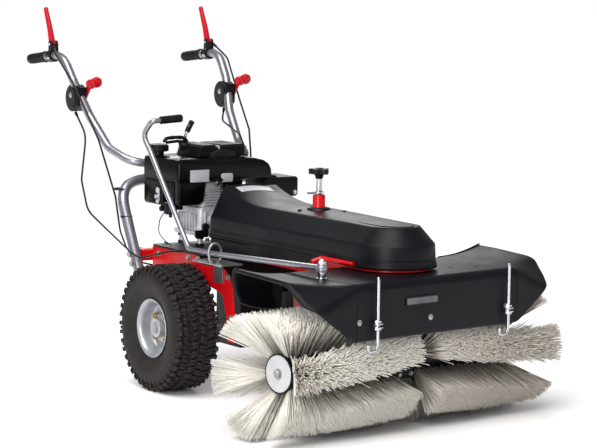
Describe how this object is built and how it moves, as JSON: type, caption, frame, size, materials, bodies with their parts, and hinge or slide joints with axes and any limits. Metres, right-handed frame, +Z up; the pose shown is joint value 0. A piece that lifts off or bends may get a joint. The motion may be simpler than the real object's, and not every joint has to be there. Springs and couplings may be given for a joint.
{
  "type": "walk behind sweeper",
  "caption": "Pedestrian sweeper with a wide powered brush under a swivelling hood, engine and belt cover on a wheeled chassis, and a tubular handlebar.",
  "frame": {"origin": "bottom centre of the bounding box, on the ground", "axes": "+X to the left side of the machine, -Y forward towards the brush, +Z up"},
  "size_m": [1.054, 1.898, 1.099],
  "materials": {
    "tyre": "matt black rubber with a block tread",
    "rim_paint": "light silver grey paint, satin",
    "steel": "turned steel",
    "red_paint": "bright red powder coat, gloss",
    "tube_paint": "silver powder coat, satin",
    "chrome": "bright zinc or chrome plate",
    "zinc": "dull zinc plate",
    "cast_alloy": "rough die cast alloy",
    "bristle": "off-white plastic filament, dusty tips",
    "red_plastic": "moulded red plastic",
    "rubber": "moulded black rubber",
    "cable": "black plastic sheathing",
    "black_casting": "black paint, satin",
    "black_plastic": "moulded black plastic, fine grain, satin"
  },
  "bodies": {
    "chassis": {"axle": "steel", "side_plate_right": "red_paint", "side_plate_left": "red_paint", "engine_deck": "black_casting", "rear_beam": "red_paint", "transmission": "black_casting", "belt_tray": "red_paint", "belt_cover": "black_plastic", "drive_belt": "rubber", "spindle_sleeve": "red_paint", "guide_loop": "chrome", "handle_column": "tube_paint", "handlebar": "tube_paint", "tube_clamp": "black_casting", "grip_right": "rubber", "grip_left": "rubber", "lever_clamp_right": "black_plastic", "lever_clamp_left": "black_plastic", "control_housing_right": "black_plastic", "control_housing_left": "black_plastic", "control_cable_right": "cable", "clutch_cable_right": "cable", "control_cable_left": "cable", "clutch_cable_left": "cable", "engine_block": "cast_alloy", "engine_shroud": "black_plastic", "air_cleaner": "black_plastic", "recoil_cover": "black_plastic", "muffler": "black_plastic"},
    "wheel_right": {"tyre_right": "tyre", "rim_right": "rim_paint"},
    "wheel_left": {"tyre_left": "tyre", "rim_left": "rim_paint"},
    "caster_post": {"caster_stem": "zinc"},
    "caster_swivel": {"caster_fork": "zinc"},
    "caster_roller": {"caster_wheel": "rubber"},
    "height_knob": {"height_knob": "black_plastic"},
    "head": {"brush_gearbox": "black_casting", "hood_shell": "black_plastic", "hood_end_right": "black_plastic", "hood_end_left": "black_plastic", "hook_rod_right": "chrome", "hook_rod_left": "chrome", "rod_pin": "chrome"},
    "brush": {"brush_shaft": "steel", "brush_core_right": "black_casting", "brush_core_left": "black_casting", "bristles_right": "bristle", "bristles_left": "bristle"},
    "brush_drive": {"brush_pulley": "zinc"},
    "engine_drive": {"engine_pulley": "zinc"},
    "swivel_lever": {"swivel_rod": "tube_paint", "swivel_grip": "rubber"},
    "clutch_right": {"clutch_lever_right": "red_plastic"},
    "clutch_left": {"clutch_lever_left": "red_plastic"},
    "control_right": {"control_lever_right": "red_plastic"},
    "control_left": {"control_lever_left": "red_plastic"},
    "gear": {"gear_lever": "chrome"},
    "starter": {"starter_grip": "black_plastic"},
    "fuel_cap": {"fuel_cap": "black_plastic"}
  },
  "joints": [
    {"name": "wheel_right_spin", "type": "hinge", "parent": "chassis", "child": "wheel_right", "pos_m": [-0.275, 0.05926, 0.186], "axis": [1, 0, 0], "continuous": true},
    {"name": "wheel_left_spin", "type": "hinge", "parent": "chassis", "child": "wheel_left", "pos_m": [0.275, 0.05926, 0.186], "axis": [1, 0, 0], "continuous": true},
    {"name": "brush_swivel", "type": "hinge", "parent": "chassis", "child": "head", "pos_m": [0, -0.69274, 0.43], "axis": [0, 0, 1], "range_deg": [-24, 5.5]},
    {"name": "brush_spin", "type": "hinge", "parent": "head", "child": "brush", "pos_m": [0, -0.69274, 0.18], "axis": [0.987, 0.1607, 0], "continuous": true},
    {"name": "brush_pulley_spin", "type": "hinge", "parent": "head", "child": "brush_drive", "pos_m": [0, -0.69274, 0.454], "axis": [0, 0, 1], "continuous": true},
    {"name": "engine_pulley_spin", "type": "hinge", "parent": "chassis", "child": "engine_drive", "pos_m": [0, 0.23926, 0.454], "axis": [0, 0, 1], "continuous": true},
    {"name": "swivel_rod_hinge", "type": "hinge", "parent": "head", "child": "swivel_lever", "pos_m": [-0.28555, -0.77468, 0.456], "axis": [0, 0, 1], "range_deg": [-5.5, 22.5]},
    {"name": "height_knob_turn", "type": "hinge", "parent": "chassis", "child": "height_knob", "pos_m": [0, -0.31574, 0.65], "axis": [0, 0, 1], "range_deg": [-1805, 3605]},
    {"name": "caster_height", "type": "slide", "parent": "chassis", "child": "caster_post", "axis": [0, 0, 1], "range_m": [-0.02, 0.04]},
    {"name": "caster_swivel_turn", "type": "hinge", "parent": "caster_post", "child": "caster_swivel", "pos_m": [0, -0.31574, 0.21], "axis": [0, 0, 1], "continuous": true},
    {"name": "caster_roll", "type": "hinge", "parent": "caster_swivel", "child": "caster_roller", "pos_m": [0, -0.28174, 0.08], "axis": [1, 0, 0], "continuous": true},
    {"name": "clutch_lever_right_squeeze", "type": "hinge", "parent": "chassis", "child": "clutch_right", "pos_m": [-0.282, 0.79074, 0.98222], "axis": [-1, 0, 0], "range_deg": [0, 56], "stiffness_Nm_per_rad": 0.8, "springref_deg": -17.19},
    {"name": "clutch_lever_left_squeeze", "type": "hinge", "parent": "chassis", "child": "clutch_left", "pos_m": [0.282, 0.79074, 0.98222], "axis": [-1, 0, 0], "range_deg": [0, 56], "stiffness_Nm_per_rad": 0.8, "springref_deg": -17.19},
    {"name": "control_lever_right_turn", "type": "hinge", "parent": "chassis", "child": "control_right", "pos_m": [-0.291, 0.65926, 0.822], "axis": [1, 0, 0], "range_deg": [-30, 25]},
    {"name": "control_lever_left_turn", "type": "hinge", "parent": "chassis", "child": "control_left", "pos_m": [0.291, 0.65926, 0.822], "axis": [1, 0, 0], "range_deg": [-30, 25]},
    {"name": "gear_shift", "type": "hinge", "parent": "chassis", "child": "gear", "pos_m": [-0.044, 0.38526, 0.372], "axis": [0, 1, 0], "range_deg": [-8, 8]},
    {"name": "starter_pull", "type": "slide", "parent": "chassis", "child": "starter", "axis": [0, 0.6, 0.8], "range_m": [0, 0.3], "stiffness_N_per_m": 15},
    {"name": "fuel_cap_turn", "type": "hinge", "parent": "chassis", "child": "fuel_cap", "pos_m": [-0.16, 0.33326, 0.69], "axis": [0, 0, 1], "range_deg": [0, 120]}
  ],
  "couplings": [
    {"joint": "height_knob_turn", "follows": "caster_height", "rad_per_m": 1570.8},
    {"joint": "brush_pulley_spin", "follows": "brush_spin", "ratio": 8},
    {"joint": "engine_pulley_spin", "follows": "brush_spin", "ratio": 13.2},
    {"joint": "swivel_rod_hinge", "follows": "brush_swivel", "ratio": -0.91}
  ]
}
